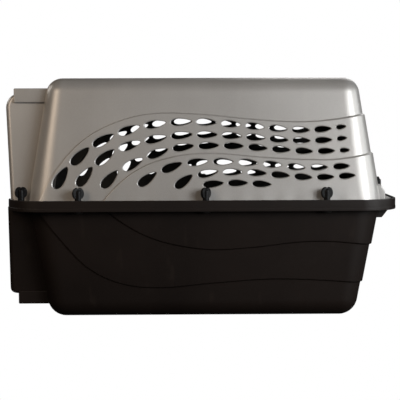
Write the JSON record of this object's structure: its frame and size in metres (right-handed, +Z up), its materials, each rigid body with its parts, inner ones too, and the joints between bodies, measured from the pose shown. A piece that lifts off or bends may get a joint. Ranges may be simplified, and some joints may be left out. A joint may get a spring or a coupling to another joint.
{
  "type": "pet carrier",
  "caption": "Two-piece moulded pet transport carrier: vented upper shell, deep lower tub, wire front door with squeeze latch, folding roof handle and wing-nut fasteners.",
  "frame": {"origin": "under the middle of the carrier, on the surface it stands on", "axes": "+X to the rear (the door faces -X), +Z up, -Y the carrier's left side"},
  "size_m": [0.6129, 0.424, 0.3755],
  "materials": {
    "top_shell": "pearl taupe-silver moulded plastic, satin, fine grain",
    "bottom_tub": "dark coffee-brown moulded plastic, satin",
    "door_wire": "bright plated steel wire",
    "latch_plastic": "black moulded plastic",
    "spring_steel": "spring wire",
    "handle_plastic": "black moulded plastic, fine grain",
    "pin_steel": "steel",
    "nut_plastic": "black glass-filled nylon, slightly glossy",
    "bolt_plastic": "black nylon"
  },
  "bodies": {
    "carrier_body": {"top_shell": "top_shell", "bottom_tub": "bottom_tub", "handle_pin_front": "pin_steel", "handle_pin_rear": "pin_steel", "bolt_left_1": "bolt_plastic", "bolt_left_2": "bolt_plastic", "bolt_left_3": "bolt_plastic", "bolt_right_1": "bolt_plastic", "bolt_right_2": "bolt_plastic", "bolt_right_3": "bolt_plastic", "bolt_front_left": "bolt_plastic", "bolt_front_right": "bolt_plastic", "bolt_rear_left": "bolt_plastic", "bolt_rear_right": "bolt_plastic"},
    "door": {"wire_door": "door_wire", "latch_case": "latch_plastic", "latch_spring_upper": "spring_steel", "latch_spring_lower": "spring_steel"},
    "latch_upper": {"latch_bolt_upper": "latch_plastic"},
    "latch_lower": {"latch_bolt_lower": "latch_plastic"},
    "handle": {"carry_handle": "handle_plastic"},
    "nut_left_1": {"wing_nut_left_1": "nut_plastic"},
    "nut_left_2": {"wing_nut_left_2": "nut_plastic"},
    "nut_left_3": {"wing_nut_left_3": "nut_plastic"},
    "nut_right_1": {"wing_nut_right_1": "nut_plastic"},
    "nut_right_2": {"wing_nut_right_2": "nut_plastic"},
    "nut_right_3": {"wing_nut_right_3": "nut_plastic"},
    "nut_front_left": {"wing_nut_front_left": "nut_plastic"},
    "nut_front_right": {"wing_nut_front_right": "nut_plastic"},
    "nut_rear_left": {"wing_nut_rear_left": "nut_plastic"},
    "nut_rear_right": {"wing_nut_rear_right": "nut_plastic"}
  },
  "joints": [
    {"name": "front_door", "type": "hinge", "parent": "carrier_body", "child": "door", "pos_m": [-0.289, 0.1125, 0.19], "axis": [0, 0, -1], "range_deg": [0, 95]},
    {"name": "latch_squeeze_upper", "type": "slide", "parent": "door", "child": "latch_upper", "axis": [0, 0, -1], "range_m": [0, 0.012], "stiffness_N_per_m": 200, "springref_m": -0.004, "deforming": ["latch_spring_upper"]},
    {"name": "latch_squeeze_lower", "type": "slide", "parent": "door", "child": "latch_lower", "axis": [0, 0, 1], "range_m": [0, 0.012], "stiffness_N_per_m": 200, "springref_m": -0.004, "deforming": ["latch_spring_lower"]},
    {"name": "handle_fold", "type": "hinge", "parent": "carrier_body", "child": "handle", "pos_m": [0, 0.036, 0.367], "axis": [-1, 0, 0], "range_deg": [0, 95]},
    {"name": "nut_turn_left_1", "type": "hinge", "parent": "carrier_body", "child": "nut_left_1", "pos_m": [-0.187, -0.2005, 0.19], "axis": [0, 0, 1], "continuous": true},
    {"name": "nut_turn_left_2", "type": "hinge", "parent": "carrier_body", "child": "nut_left_2", "pos_m": [0.008, -0.2005, 0.19], "axis": [0, 0, 1], "continuous": true},
    {"name": "nut_turn_left_3", "type": "hinge", "parent": "carrier_body", "child": "nut_left_3", "pos_m": [0.193, -0.2005, 0.19], "axis": [0, 0, 1], "continuous": true},
    {"name": "nut_turn_right_1", "type": "hinge", "parent": "carrier_body", "child": "nut_right_1", "pos_m": [-0.187, 0.2005, 0.19], "axis": [0, 0, 1], "continuous": true},
    {"name": "nut_turn_right_2", "type": "hinge", "parent": "carrier_body", "child": "nut_right_2", "pos_m": [0.008, 0.2005, 0.19], "axis": [0, 0, 1], "continuous": true},
    {"name": "nut_turn_right_3", "type": "hinge", "parent": "carrier_body", "child": "nut_right_3", "pos_m": [0.193, 0.2005, 0.19], "axis": [0, 0, 1], "continuous": true},
    {"name": "nut_turn_front_left", "type": "hinge", "parent": "carrier_body", "child": "nut_front_left", "pos_m": [-0.2785, -0.17, 0.19], "axis": [0, 0, 1], "continuous": true},
    {"name": "nut_turn_front_right", "type": "hinge", "parent": "carrier_body", "child": "nut_front_right", "pos_m": [-0.2785, 0.17, 0.19], "axis": [0, 0, 1], "continuous": true},
    {"name": "nut_turn_rear_left", "type": "hinge", "parent": "carrier_body", "child": "nut_rear_left", "pos_m": [0.2925, -0.078, 0.19], "axis": [0, 0, 1], "continuous": true},
    {"name": "nut_turn_rear_right", "type": "hinge", "parent": "carrier_body", "child": "nut_rear_right", "pos_m": [0.2925, 0.078, 0.19], "axis": [0, 0, 1], "continuous": true}
  ]
}
